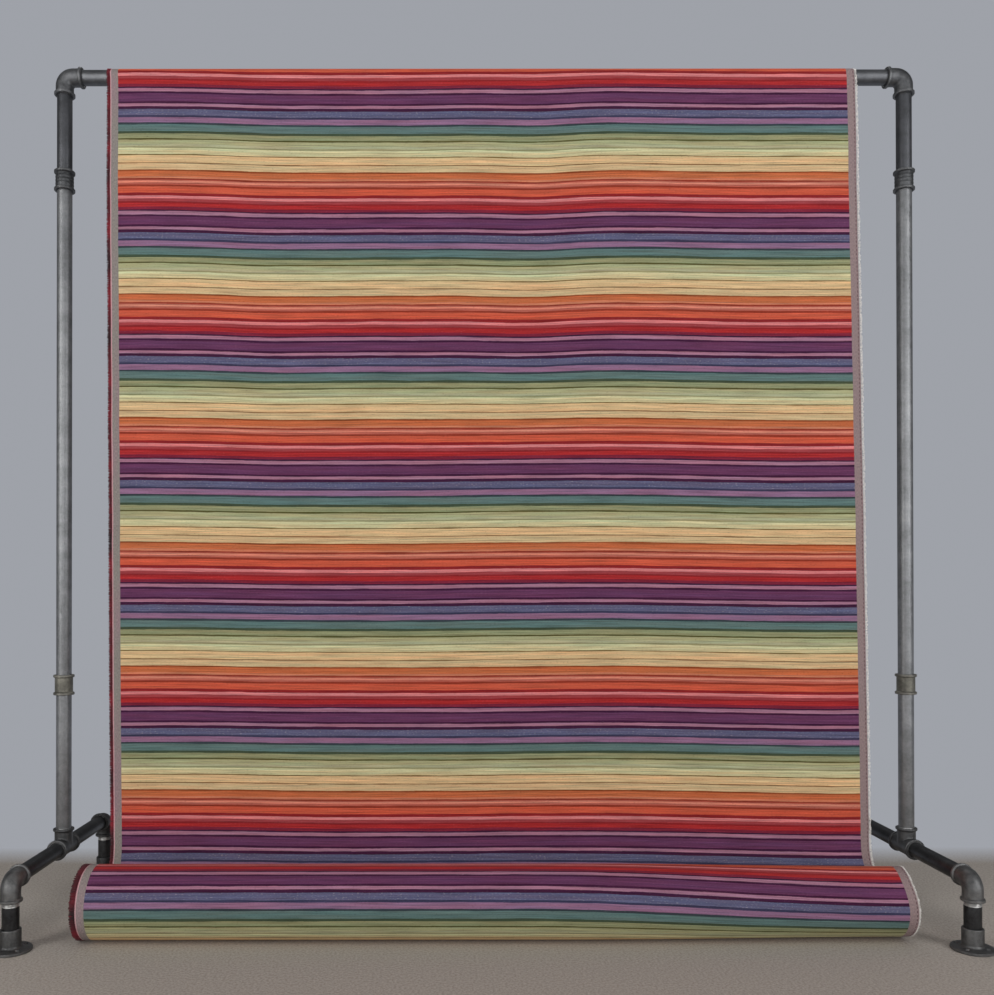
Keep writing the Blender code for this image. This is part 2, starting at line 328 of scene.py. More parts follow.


# %% [markdown]
# ## Iron
#
# The stand is black iron pipe. Mill scale gives it a cloudy grey, handling wears it paler, and the castings
# are rougher than the drawn pipe because they take the grain of their sand mould. One recipe makes them
# all. It takes a dark and a pale tone, and how rough the skin is. The ridges that hands and tools touch are
# found with the geometry's pointiness, which is high along outside corners. The lengths of pipe and the
# castings differ in tone: the posts are paler than the base. The rear castings are the darkest, and so are
# their rubbed edges: that is painted shade, because they stand in the shade behind the cloth.


# %% Iron finishes
def iron(name, dark, pale, worn, gloss, grain, grain_size, metal=0.85):
    recipe = Recipe(name, Metallic=metal)
    here = recipe.here()
    clouds = recipe.spots(here, 38, 5)
    smears = recipe.spots(here, 210, 4, 0.65)
    tone = recipe.ramp(recipe.mix(0.4, clouds, smears), [(0.34, dark), (0.66, pale)])
    corner = recipe.add("ShaderNodeNewGeometry").outputs["Pointiness"]
    rubbed = recipe.math("MULTIPLY", recipe.mask(corner, 0.545, 0.62, last=0.85), smears)
    color = recipe.mix(rubbed, tone, worn)
    rough = recipe.between(smears, gloss, gloss + 0.22)
    pits = recipe.spots(here, grain_size, 3, 0.7)
    dents = recipe.bump(clouds, 0.0006, 0.35)
    return recipe.into(Base_Color=color, Roughness=rough, Normal=recipe.bump(pits, grain, 0.8, dents))


# The second rubbed tone is darker: it is wear with painted shade, used only for the rear castings.
WORN, SHADED_WEAR, BRIGHT = grey(0.42), grey(0.2), grey(0.8)  # what lies under the skin where it is rubbed
post_iron = iron("weathered_pipe", (0.17, 0.174, 0.18), (0.31, 0.316, 0.325), WORN, 0.36, 0.00012, 900)
bar_iron = iron("dark_pipe", (0.10, 0.103, 0.11), (0.17, 0.175, 0.185), WORN, 0.32, 0.0001, 900)
upper_iron = iron("gunmetal_pipe", (0.066, 0.068, 0.074), (0.114, 0.117, 0.127), WORN, 0.36, 0.0001, 900)
base_iron = iron("black_pipe", (0.027, 0.0275, 0.029), (0.070, 0.071, 0.075), WORN, 0.30, 0.00015, 700)
cast_iron = iron("cast_fitting", (0.05, 0.052, 0.055), (0.13, 0.133, 0.138), WORN, 0.38, 0.0003, 420)
black_cast = iron("black_casting", (0.048, 0.0485, 0.050), (0.145, 0.146, 0.149), WORN, 0.36, 0.0003, 420)
bend_cast = iron("bend_casting", (0.068, 0.070, 0.074), (0.18, 0.183, 0.19), WORN, 0.38, 0.0003, 420)
foot_cast = iron("foot_casting", (0.080, 0.081, 0.082), grey(0.22), WORN, 0.38, 0.0003, 420)
# The rear castings: the same casting made darker, as painted shade, because they stand in the shade behind
# the cloth.
shaded_rear_cast = iron("rear_casting_painted_shade", (0.028, 0.0285, 0.030), (0.085, 0.086, 0.088), SHADED_WEAR, 0.40, 0.0003, 420)
plate_cast = iron("plate_casting", (0.064, 0.0645, 0.065), grey(0.17), WORN, 0.40, 0.0003, 420)
aged_cast = iron("aged_casting", (0.10, 0.096, 0.084), (0.27, 0.26, 0.22), WORN, 0.40, 0.0003, 300)
cut_thread = iron("cut_thread", grey(0.34), (0.70, 0.70, 0.69), BRIGHT, 0.26, 0.00005, 900)

# %% [markdown]
# ## Pipe
#
# Each length of pipe is a tube with a thread cut on both ends. It could be a plain cylinder, but the open
# turns of thread where it enters a fitting are what tell the eye that the stand is screwed together. So a
# ring of faces is extruded in steps of a quarter turn of thread, and each point is then pushed in by how
# far it lies from the crest of the thread, which climbs round the pipe.

# %% Pipe
THREAD_PITCH = 0.00181
THREAD_DEPTH = 0.0008
SCREWED_IN = 0.0143
PIPE_WALL = 0.00287
ROWS_PER_TURN = 4


def middle_and_length(node):
    """Where a straight part of the frame lies: its middle, its length, its radius and its long axis."""
    low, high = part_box(node)
    span = high - low
    along = max(range(3), key=lambda axis: span[axis])
    return (low + high) / 2, span[along], min(span) / 2, along


def extrude_rows(up, rows, step):
    for _ in range(rows):
        bpy.ops.mesh.extrude_region_move(TRANSFORM_OT_translate={"value": (0, 0, up * step)})


def make_pipe(name, node, finish, shown_top, shown_bottom):
    """shown_top and shown_bottom are how much thread shows outside the fitting at either end."""
    centre, length, radius, along = middle_and_length(node)
    step = THREAD_PITCH / ROWS_PER_TURN
    rows = [math.ceil((SCREWED_IN + shown) / step) for shown in (shown_bottom, shown_top)]
    plain = length - sum(rows) * step
    select_nothing()
    bpy.ops.mesh.primitive_cylinder_add(vertices=SIDES, radius=radius, depth=plain)
    pipe = name_it(name)
    bpy.ops.object.mode_set(mode="EDIT")
    for up, count in ((-1, rows[0]), (1, rows[1])):
        pick_faces(pipe, lambda centre, normal: normal.z * up > 0.9)
        extrude_rows(up, count, step)
    pick_faces(pipe, lambda centre, normal: abs(normal.z) > 0.9)
    bpy.ops.mesh.inset(thickness=PIPE_WALL)
    bpy.ops.mesh.bridge_edge_loops()
    bpy.ops.object.mode_set(mode="OBJECT")
    for point in pipe.data.vertices:
        out = math.hypot(point.co.x, point.co.y)
        past = abs(point.co.z) - plain / 2
        if out > radius * 0.95 and past > step / 2:
            turns = point.co.z / THREAD_PITCH - math.atan2(point.co.y, point.co.x) / math.tau
            crest = abs((turns % 1) - 0.5) * 2
            fade = min(1.0, past / (1.5 * THREAD_PITCH))
            push = 1 - THREAD_DEPTH * fade * (1 - crest) / out
            point.co.x, point.co.y = point.co.x * push, point.co.y * push
    for face in pipe.data.polygons:
        face.material_index = 1 if abs(face.center.z) > plain / 2 + step else 0
    pipe.data.materials.append(finish)
    pipe.data.materials.append(cut_thread)
    turn = {0: (0, math.radians(90), 0), 1: (math.radians(-90), 0, 0), 2: (0, 0, 0)}[along]
    return smooth(put(pipe, centre, turn))


A_HAIR, A_TURN, OPEN_THREAD = 0.0004, 0.0018, 0.0142
pipes = [("bar_pipe", "crossbar", bar_iron, A_HAIR, A_HAIR, "pipe_iron")]
for side in ("left", "right"):
    pipes += [
        (f"upper_pipe_{side}", f"upper_post_{side}", upper_iron, A_HAIR, A_HAIR, "pipe_iron"),
        (f"main_pipe_{side}", f"main_post_{side}", post_iron, A_HAIR, A_HAIR, "pipe_iron"),
        (f"lower_pipe_{side}", f"lower_post_{side}", post_iron, A_HAIR, A_TURN, "pipe_iron"),
    ]
    for end in ("front", "rear"):
        corner = f"{side}_{end}"
        pipes.append((f"leg_{corner}", f"leg_pipe_{corner}", base_iron, A_TURN, A_HAIR, "base_iron"))
        pipes.append(
            (f"foot_pipe_{corner}", f"foot_nipple_{corner}", base_iron, OPEN_THREAD, A_HAIR, "base_iron")
        )
for name, node, finish, shown_top, shown_bottom, slot in pipes:
    stands_for(make_pipe(name, node, finish, shown_top, shown_bottom), node, "stand", slot)
print("made", len(pipes), "lengths of pipe")

# %% [markdown]
# ## Sockets
#
# Every fitting ends in the same mouth: a socket for the pipe, a raised band round it, and the slimmer body
# behind. It is a turned shape, so its half outline is drawn once and spun. Elbows, tees and couplings are
# all built from this one mouth. The sizes are those of a three-quarter inch malleable iron fitting.

# %% The socket's outline
SOCKET, BODY, BAND = 0.013635, 0.0157, 0.0183
PASSAGE = 0.010465
BEND = 0.0172  # radius of an elbow's centre line
REACH = 0.0333  # from a fitting's centre to the face of its mouth
BAND_LONG = 0.0045
EASE = 0.0011  # the slope from body up to band


def mouth_outline(back, front, reach_in):
    """A socket that faces up: outside from `back` to the mouth at `front`, then inside down to `reach_in`."""
    band_start = front - BAND_LONG
    return [
        (BODY, back),
        (BODY, band_start - EASE),
        (BODY + 0.0006, band_start - EASE / 2),
        (BAND - 0.0005, band_start),
        (BAND, band_start + 0.0006),
        (BAND, front - 0.0008),
        (BAND - 0.0008, front),
        (SOCKET + 0.0009, front),
        (SOCKET, front - 0.0009),
        (SOCKET, front - SCREWED_IN - 0.0003),
        (PASSAGE, front - SCREWED_IN - 0.0005),
        (PASSAGE, reach_in),
    ]


# %% [markdown]
# ## Elbows
#
# An elbow is a bend with a mouth at each end. The bend is two circles, one for the outside and one for the
# passage, spun a quarter turn about the centre of the bend. The mouths are turned on the lathe with the
# same number of steps, so their rings meet the bend's rings point for point and merge into one skin.


# %% Elbow
def make_bend():
    rings = []
    for radius in (BODY, PASSAGE):
        select_nothing()
        bpy.ops.mesh.primitive_circle_add(
            vertices=SIDES, radius=radius, location=(BEND, 0, 0), rotation=(0, math.radians(90), 0)
        )
        bpy.ops.object.transform_apply(location=True, rotation=True, scale=True)
        rings.append(name_it("ring"))
    bend = join_up("bend", rings)
    bpy.ops.object.mode_set(mode="EDIT")
    bpy.ops.mesh.select_all(action="SELECT")
    bpy.ops.mesh.spin(steps=14, angle=math.pi / 2, center=(BEND, 0, -BEND), axis=(0, 1, 0))
    bpy.ops.object.mode_set(mode="OBJECT")
    return bend


CENTRE = (0, 0, 0)


def make_elbow(name):
    """An elbow at the origin whose mouths face +X and -Z."""
    outline = mouth_outline(BEND, REACH, BEND)
    mouths = [
        put(turn_on_lathe("mouth", outline, closed=False), CENTRE, turn)
        for turn in ((0, math.radians(90), 0), (math.radians(180), 0, 0))
    ]
    return face_outwards(join_up(name, [make_bend(), *mouths]), merge=2e-5)


elbow_pattern = make_elbow("elbow_pattern")


def open_edges(piece):
    """How many edges of a skin don't have exactly two faces. A closed skin has none."""
    shell = bmesh.new()
    shell.from_mesh(piece.data)
    count = sum(len(edge.link_faces) != 2 for edge in shell.edges)
    shell.free()
    return count


print("the elbow has", len(elbow_pattern.data.polygons), "faces and", open_edges(elbow_pattern), "open edges")

# %% [markdown]
# ## Couplings
#
# A coupling joins two lengths of pipe end to end. It is one outline with a band at each end. The ones near
# the bar are cast with faint rings round the body. The inside is one straight bore, because the pipe ends
# hide it.


# %% Coupling
def coupling_outline(long, rings):
    half = long / 2
    waist = half - BAND_LONG - EASE
    outline = [(BAND - 0.0008, half), (BAND, half - 0.0008), (BAND, half - BAND_LONG + 0.0006)]
    outline += [(BAND - 0.0005, half - BAND_LONG), (BODY, waist)]
    for number in range(rings):
        middle = waist * (1 - 2 * (number + 1) / (rings + 1))
        outline += [(BODY, middle + 0.0013), (BODY + 0.0003, middle + 0.0005)]
        outline += [(BODY + 0.0003, middle - 0.0005), (BODY, middle - 0.0013)]
    outline += [(BODY, -waist), (BAND - 0.0005, BAND_LONG - half), (BAND, BAND_LONG - half - 0.0006)]
    outline += [(BAND, 0.0008 - half), (BAND - 0.0008, -half), (SOCKET + 0.0009, -half)]
    return outline + [(SOCKET, 0.0009 - half), (SOCKET, half - 0.0009), (SOCKET + 0.0009, half)]


COUPLING_LONG = middle_and_length("upper_coupling_left")[1]
plain_coupling = turn_on_lathe("plain_coupling", coupling_outline(COUPLING_LONG, 0))
ringed_coupling = turn_on_lathe("ringed_coupling", coupling_outline(COUPLING_LONG, 3))
print("couplings:", open_edges(plain_coupling), "and", open_edges(ringed_coupling), "open edges")

# %% [markdown]
# ## Tees
#
# The base tee has its run along the legs and its branch upwards. A casting has no sharp inside corners,
# because metal shrinks and cracks there, so the two bodies flow into each other. The run and the branch are
# joined and remade as one skin of small even faces, which is then smoothed like clay. The sockets are
# drilled afterwards and keep their crisp edges.


# %% Tee
CLAY_SIZE = 0.00075  # how large a face of the remade skin is
CROTCH_WIDE = 0.012  # how far from the meeting of the arms the skin is smoothed


def solid_arm(name, back):
    outline = [p for p in mouth_outline(back, REACH, back) if p[0] >= SOCKET + 0.0009]
    return turn_on_lathe(name, [(0.0, back), *outline, (0.0, REACH)])


def drill(piece, tool):
    """Cuts one piece out of another and throws the tool away."""
    apply_modifier(piece, "BOOLEAN", object=tool, operation="DIFFERENCE", solver="EXACT")
    bpy.data.objects.remove(tool)
    return piece


def socket_drill(name):
    """The shape that a socket's thread and passage leave, facing up."""
    past = REACH + 0.002
    front = [(0.0, past), (SOCKET + 0.0029, past), (SOCKET + 0.0009, REACH)]
    wall = [(SOCKET, REACH - 0.0009), (SOCKET, REACH - SCREWED_IN - 0.0003)]
    wall += [(PASSAGE, REACH - SCREWED_IN - 0.0005), (PASSAGE, 0), (0, 0)]
    return turn_on_lathe(name, front + wall)


def make_tee(name):
    """A tee at the origin: its run along Y, its branch up."""
    turns = [(math.radians(tip), 0, 0) for tip in (0, 90, -90)]
    tee = join_up(name, [put(solid_arm("arm", -0.004), CENTRE, turn) for turn in turns])
    apply_modifier(tee, "REMESH", mode="VOXEL", voxel_size=CLAY_SIZE)
    crotch = tee.vertex_groups.new(name="crotch")
    for point in tee.data.vertices:
        out = math.hypot(point.co.x, min(abs(point.co.y), abs(point.co.z) if point.co.z > 0 else 1))
        inside = point.co.z > 0 and abs(point.co.y) > 0.002
        near = max(0.0, 1 - abs(out - BODY) / CROTCH_WIDE) if inside else 0.0
        reach = max(abs(point.co.y), point.co.z)
        crotch.add([point.index], near if reach < REACH - BAND_LONG - 0.003 else 0.0, "REPLACE")
    apply_modifier(tee, "SMOOTH", factor=0.7, iterations=14, vertex_group="crotch")
    apply_modifier(tee, "SMOOTH", factor=0.5, iterations=2)
    for turn in turns:
        drill(tee, put(socket_drill("drill"), CENTRE, turn))
    return tee


tee_pattern = make_tee("tee_pattern")
print("the tee has", len(tee_pattern.data.polygons), "faces and", open_edges(tee_pattern), "open edges")

# %% [markdown]
# ## Floor flanges
#
# A floor flange is a thin round plate with four countersunk holes for screws, and a tall hub that the
# foot's pipe screws into. The hub's shoulder is rounded and it flows into the plate with a wide fillet.

# %% Flange
low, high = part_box("floor_flange_left_front")
FLANGE_OUT, HUB_TOP = (high.x - low.x) / 2, high.z - low.z
HUB, HOLE_OUT, HOLE = 0.0165, 0.025, 0.00275
FILLET, SHOULDER, PLATE_TOP = 0.0045, 0.0022, 0.0055
ARC = [math.radians(15 * step) for step in range(7)]


def make_flange(name):
    fillet = [(HUB + FILLET * (1 - math.sin(a)), PLATE_TOP + FILLET * (1 - math.cos(a))) for a in ARC]
    shoulder = [(HUB - SHOULDER * (1 - math.cos(a)), HUB_TOP - SHOULDER * (1 - math.sin(a))) for a in ARC]
    plate = [(SOCKET, 0.0), (FLANGE_OUT - 0.0006, 0.0), (FLANGE_OUT, 0.0008), (FLANGE_OUT, 0.0034)]
    plate += [(FLANGE_OUT - 0.0008, 0.0042), (FLANGE_OUT - 0.004, 0.0050)]
    mouth = [(SOCKET + 0.0007, HUB_TOP), (SOCKET, HUB_TOP - 0.0007)]
    flange = turn_on_lathe(name, plate + fillet + shoulder + mouth)
    for number in range(4):
        angle = math.radians(45 + 90 * number)
        outline = [(0.0, -0.002), (HOLE, -0.002), (HOLE, 0.0036), (HOLE + 0.0022, 0.0058)]
        outline += [(HOLE + 0.0022, 0.0120), (0.0, 0.0120)]
        tool = turn_on_lathe("screw_drill", outline, steps=24)
        put(tool, (HOLE_OUT * math.cos(angle), HOLE_OUT * math.sin(angle), 0))
        drill(flange, tool)
    return flange


flange_pattern = make_flange("flange_pattern")
print("the flange has", len(flange_pattern.data.polygons), "faces,", open_edges(flange_pattern), "open edges")

# %% [markdown]
# ## Fitting the fittings
#
# Each pattern is copied to the middle of the part that it stands for, with a mesh of its own, and turned
# the way that part faces. Then the patterns are thrown away.


# %% Place the fittings
def fit(pattern, name, node, finish, place, turned=0):
    """Puts a copy of a pattern at a place, turned by so many quarter turns, in the stead of a node."""
    piece = copy_to(pattern, name, place, (0, 0, math.radians(90 * turned)))
    give_finish(piece, finish)
    smooth(piece, 30)
    stands_for(piece, node, "stand", "fitting_iron")


for side, sign in (("left", -1), ("right", 1)):
    node = f"top_elbow_{side}"
    low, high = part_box(node)
    place = (high.x - REACH if sign < 0 else low.x + REACH, (low.y + high.y) / 2, low.z + REACH)
    fit(elbow_pattern, f"bar_elbow_{side}", node, bend_cast, place, 1 + sign)
    couplings = ("upper", ringed_coupling, cast_iron), ("lower", plain_coupling, aged_cast)
    for level, pattern, finish in couplings:
        node = f"{level}_coupling_{side}"
        fit(pattern, f"{level}_joiner_{side}", node, finish, middle_and_length(node)[0])
    node = f"base_tee_{side}"
    low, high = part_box(node)
    place = ((low.x + high.x) / 2, (low.y + high.y) / 2, high.z - REACH)
    fit(tee_pattern, f"tee_{side}", node, black_cast, place)
    # The rear bends and plates take the darker finish, which is painted shade.
    ends = ("front", -1, foot_cast, plate_cast), ("rear", 1, shaded_rear_cast, shaded_rear_cast)
    for end, way, bend_finish, plate_finish in ends:
        node = f"foot_elbow_{side}_{end}"
        low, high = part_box(node)
        place = ((low.x + high.x) / 2, high.y - REACH if way < 0 else low.y + REACH, low.z + REACH)
        fit(elbow_pattern, f"foot_bend_{side}_{end}", node, bend_finish, place, -way)
        node = f"floor_flange_{side}_{end}"
        low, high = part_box(node)
        place = ((low.x + high.x) / 2, (low.y + high.y) / 2, 0)
        fit(flange_pattern, f"foot_plate_{side}_{end}", node, plate_finish, place)

patterns = (elbow_pattern, plain_coupling, ringed_coupling, tee_pattern, flange_pattern)
for pattern in patterns:
    bpy.data.objects.remove(pattern)
print("placed copies of", len(patterns), "patterns")

# %% [markdown]
# ## The cloth's pattern
#
# The cloth is a weft-striped tapestry weave. Its colours run across it, from edge to edge, in a repeat of
# 224 mm that goes from purple through green, cream and orange to red. A weaver writes such a cloth down as
# a pick plan: which yarn, and for how many millimetres. The plan below is that list, going down the cloth
# from the pink line at the top of the purple.

# %% Pick plan
REPEAT = 0.2244
YARNS = {
    "pink": (166, 117, 139),
    "plum": (65, 29, 58),
    "purple": (102, 57, 91),
    "violet": (104, 60, 94),
    "blue": (96, 95, 124),
    "slate": (59, 58, 84),
    "mauve": (144, 107, 136),
    "fir": (55, 65, 72),
    "teal": (96, 120, 117),
    "moss": (67, 80, 61),
    "olive": (146, 149, 112),
    "bronze": (87, 86, 47),
    "sage": (172, 171, 130),
    "celadon": (176, 175, 141),
    "straw": (151, 148, 107),
    "lime": (209, 206, 162),
    "khaki": (203, 193, 149),
    "bark": (122, 99, 56),
    "peach": (219, 186, 139),
    "amber": (138, 104, 69),
    "cream": (209, 180, 137),
    "rust": (142, 72, 38),
    "orange": (195, 107, 68),
    "salmon": (203, 126, 96),
    "brick": (146, 57, 41),
    "rose_salmon": (217, 135, 113),
    "dusky": (186, 98, 83),
    "coral": (204, 91, 67),
    "wine": (141, 38, 42),
    "rose": (218, 128, 129),
    "madder": (159, 66, 70),
    "red": (171, 46, 48),
    "crimson": (125, 39, 59),
}
PICKS = [
    ("pink", 3.0), ("plum", 2.2), ("purple", 2.6), ("violet", 2.8), ("purple", 2.9), ("plum", 1.9),
    ("pink", 2.7), ("plum", 3.1), ("blue", 6.1), ("slate", 2.1), ("mauve", 5.0), ("fir", 1.9),
    ("teal", 7.1), ("moss", 2.0), ("olive", 4.8), ("bronze", 1.9), ("sage", 4.1), ("celadon", 2.6),
    ("straw", 1.4), ("lime", 2.2), ("khaki", 3.8), ("bark", 1.2), ("peach", 6.9), ("amber", 1.1),
    ("cream", 6.4), ("rust", 1.6), ("orange", 4.9), ("salmon", 2.0), ("brick", 1.5), ("dusky", 0.9),
    ("rose_salmon", 2.2), ("dusky", 2.0), ("brick", 1.9), ("coral", 6.1), ("wine", 3.0), ("rose", 2.8),
    ("madder", 3.1), ("wine", 1.3), ("red", 4.0), ("crimson", 2.8), ("plum", 1.6),
]  # fmt: skip
shares = np.cumsum([0.0] + [width for _, width in PICKS])
shares /= shares[-1]
stops = [(float(share), dyed(*YARNS[yarn])) for share, (yarn, _) in zip(shares, PICKS)]
HALF = len(stops) // 2
print(len(PICKS), "picks in a repeat of", round(REPEAT * 1000, 1), "mm")

# %% [markdown]
# ## From the pick plan to a finish
#
# The cloth carries its own measure: its UV map holds metres, u from the left edge and v down the cloth. The
# finish takes v, folds it into one repeat and looks it up in the pick plan. One ramp holds at most 32
# stops, so the plan is split over two. Wear then makes it a cloth and not a flag: each pick wanders a
# little, and the yarns vary in dye along their length. Small dark flecks are painted shade: they darken the
# cloth where the flecks sink the bump. The ribs themselves are a bump, a little under a millimetre apart.


# %% Woven finish
CLOTH_WIDE = 1.352
EDGE_WIDE, PINK_LINE = 0.0145, 0.0020
RIB, WARP, STITCH = 0.0009, 0.0011, 0.0075  # how far apart they lie


def woven_cloth(name):
    recipe = Recipe(name, Roughness=0.9, Sheen_Weight=0.03, Sheen_Roughness=0.45, Specular_IOR_Level=0.10)
    calc = recipe.math
    where = recipe.metres()
    u, v, _ = recipe.parts(where)

    # The stripes
    wander = recipe.between(recipe.streaks(where, 16, 300, 4), -0.0015, 0.0015)
    fold = calc("FRACT", calc("DIVIDE", calc("ADD", v, wander), REPEAT))
    first = recipe.ramp(fold, stops[:HALF], "CONSTANT")
    second = recipe.ramp(fold, [(0.0, stops[HALF][1]), *stops[HALF:]], "CONSTANT")
    color = recipe.mix(calc("GREATER_THAN", fold, stops[HALF][0]), first, second)

    # Pale flecks, most of them in the blue, and dark ones everywhere, which are painted shade where the
    # flecks sink the bump
    flecks = recipe.streaks(where, 260, 620, roughness=0.5)
    blue_start, blue_end = (float(share) for share in shares[8:10])
    in_blue = calc("COMPARE", fold, (blue_start + blue_end) / 2, (blue_end - blue_start) / 2)
    lit = calc("MULTIPLY", recipe.mask(flecks, 0.60, 0.72, last=0.7), recipe.between(in_blue, 0.15, 1.0))
    color = recipe.mix(lit, color, recipe.mix(0.5, color, dyed(206, 196, 190)))
    # Dark flecks where the flecks sink the bump: painted shade in those small hollows.
    sunken_shade = recipe.mask(flecks, 0.28, 0.42, 0.5, 0.0)
    color = recipe.mix(sunken_shade, color, recipe.mix(0.6, color, dyed(52, 40, 44)))

    # Uneven dye, in strength and in hue
    tone = recipe.mask(recipe.streaks(where, 11, 420, 5, 0.62), 0.28, 0.72, 0.62, 1.34)
    color = recipe.mix(1.0, color, tone, "MULTIPLY")
    hues = [(0.35, (1.06, 0.965, 0.94)), (0.65, (0.95, 1.03, 1.05))]
    color = recipe.mix(1.0, color, recipe.ramp(recipe.streaks(where, 6, 150), hues), "MULTIPLY")

    # The woven edges, a pink line at the left and a line of stitches at the right
    plain = recipe.streaks(where, 900, 260, 3, 0.6)
    patches = recipe.mask(recipe.streaks(where, 20, 5), 0.48, 0.66)
    grey_left = recipe.ramp(plain, [(0.3, dyed(118, 112, 108)), (0.7, dyed(158, 150, 144))])
    pink_left = recipe.ramp(plain, [(0.3, dyed(128, 110, 114)), (0.7, dyed(166, 142, 146))])
    grey_right = recipe.ramp(plain, [(0.3, dyed(124, 108, 108)), (0.7, dyed(164, 142, 142))])
    color = recipe.mix(calc("LESS_THAN", u, EDGE_WIDE), color, recipe.mix(patches, grey_left, pink_left))
    color = recipe.mix(calc("GREATER_THAN", u, CLOTH_WIDE - EDGE_WIDE), color, grey_right)
    color = recipe.mix(calc("LESS_THAN", u, PINK_LINE), color, dyed(216, 166, 172))
    seam = calc("COMPARE", u, CLOTH_WIDE - 0.0025, 0.0006)
    stitches = calc("GREATER_THAN", calc("SINE", calc("MULTIPLY", v, math.tau / STITCH)), -0.2)
    color = recipe.mix(calc("MULTIPLY", seam, stitches), color, dyed(88, 62, 66))

    # The ribs and the warp that crosses them
    ribs = calc("SINE", calc("MULTIPLY", v, math.tau / RIB))
    crossings = calc("SINE", calc("MULTIPLY", u, math.tau / WARP))
    weave = calc("ADD", calc("MULTIPLY", ribs, 0.5), calc("MULTIPLY", crossings, 0.3))
    height = calc("ADD", weave, calc("MULTIPLY", flecks, 1.2))
    return recipe.into(Base_Color=color, Normal=recipe.bump(height, 0.00018, 0.7))


striped_cloth = woven_cloth("striped_cloth_woven")

# %% [markdown]
# ## How the cloth runs
#
# A point of the cloth is known by two numbers: u, its distance from the left edge, and its place down the
# cloth. Hung cloth isn't quite true. The weft bows up in the middle, droops to the right, and slackens
# near the floor, so the stripes wave while the cloth's edges stay straight. The functions below say how
# much. They move the pattern on the cloth, not the cloth.

# %% The cloth's run
low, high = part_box("crossbar")
BAR_Z, BAR_R = (low.z + high.z) / 2, (high.z - low.z) / 2
low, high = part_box("cloth_roll")
ROLL_R, ROLL_X = (high.z - low.z) / 2, (low.x + high.x) / 2
ROLL_Y, ROLL_Z = (low.y + high.y) / 2, (low.z + high.z) / 2
THICK = 0.0012
WRAP_R = BAR_R + 0.0003 + THICK / 2
TAIL_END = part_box("cloth_tail")[0].z
FALL_LEAN = 0.016  # how far the fall leans forward on its way down
LOOP_START = 0.135  # the height where the slack loop begins
FALL_PULL, BOLT_PULL = 0.085, 0.060  # how firmly the loop keeps to the fall's way and to the roll's
LEAVE = math.radians(46)  # where the cloth leaves the roll, measured back from its top
FIRST_PINK = 0.1405  # height on the fall where a repeat begins
ROLL_PINK = math.radians(21.7)  # and the place on the roll, forward of its top, where the next one does
SHIFT_BAR, SHIFT_ROLL = -0.005, ROLL_X


def ease(x, start, end):
    """0 before start, 1 after end, and a smooth rise between them."""
    share = min(1.0, max(0.0, (x - start) / (end - start)))
    return share * share * (3 - 2 * share)


def middle_x(z):
    """The cloth hangs a little askew, so its middle line moves as it goes down."""
    share = min(1.0, max(0.0, (BAR_Z - z) / (BAR_Z - LOOP_START)))
    return SHIFT_BAR + share * (SHIFT_ROLL - SHIFT_BAR)


SAGS = (  # (u, z, half width, half height, depth): where the weft sags or is drawn up, in metres
    (0.275, 1.15, 0.085, 0.50, 0.0026),
    (0.485, 1.15, 0.060, 0.35, -0.0012),
    (0.780, 1.25, 0.085, 0.33, 0.0054),
    (0.700, 1.12, 0.075, 0.25, 0.0021),
    (1.270, 1.45, 0.150, 0.30, -0.0026),
    (0.055, 1.30, 0.060, 0.40, -0.0008),
    (1.352, 0.12, 0.250, 0.16, 0.0030),
)


def droop(u, z):
    """How far a stripe lies below its true place on the fall, in metres."""
    up = min(1.0, max(0.0, z / BAR_Z))
    bow = (0.0013 + 0.0013 * up) * math.cos(math.tau * (u - 0.47) / 0.80)
    tilt = (0.0015 - 0.0021 * up) * (u / CLOTH_WIDE - 0.5) * 2
    slack = -0.0026 + 0.0053 * ease(z, 0.12, 0.64) - 0.0022 * ease(z, 1.2, 1.53)
    right = 0.0016 * ease(u, 0.75, 1.30)
    sag = sum(d * math.exp(-(((u - a) / w) ** 2) - ((z - b) / h) ** 2) for a, b, w, h, d in SAGS)
    return bow + tilt + slack + right + sag + 0.0008 * noise.noise((u * 6, z * 5, 0.3))


MOST_SLIP, MOST_DROP = 0.023, 0.0046  # what the roll's slack right end comes to


def roll_slip(u):
    """How much further round the roll a stripe lies towards its right end."""
    return MOST_SLIP * ease(u, 0.72, 1.36)


def roll_drop(u):
    """The roll is wound slacker towards its right end, so it is slimmer there."""
    return MOST_DROP * ease(u, 0.80, 1.36)


INNERMOST = 0.0225  # the radius of the first turn, which lies flat on the tube all along
SNUG, ROLL_ASIDE = 0.9975, -0.0008  # winding draws the cloth in a little, and it wound on a little askew


def roll_x(u, share=1.0):
    """Where a column lies along the roll. share runs from 0 on the fall to 1 on the roll."""
    return (u - CLOTH_WIDE / 2) * (1 - (1 - SNUG) * share) + ROLL_X + ROLL_ASIDE * share


def on_roll(u, angle, radius):
    """A point (y, z) on the wound cloth: angle is forward from the top."""
    full = (radius - INNERMOST) / (ROLL_R - INNERMOST)
    out = radius - roll_drop(u) * full
    return ROLL_Y - out * math.sin(angle), ROLL_Z + out * math.cos(angle)


# %% [markdown]
# ## The drawn cloth
#
# This is one sheet from its cut end behind the bar, over the bar, down the front and through the slack
# loop, and on round the back of the roll. There it thins away to nothing on top of the wound cloth, so that
# no step shows where the turning roll and the still cloth part. A sheet like this could be simulated, but
# it hangs taut and its course is known exactly, so it is built row by row along that course. Small swells
# are added where nothing holds it: cloth never hangs dead flat.


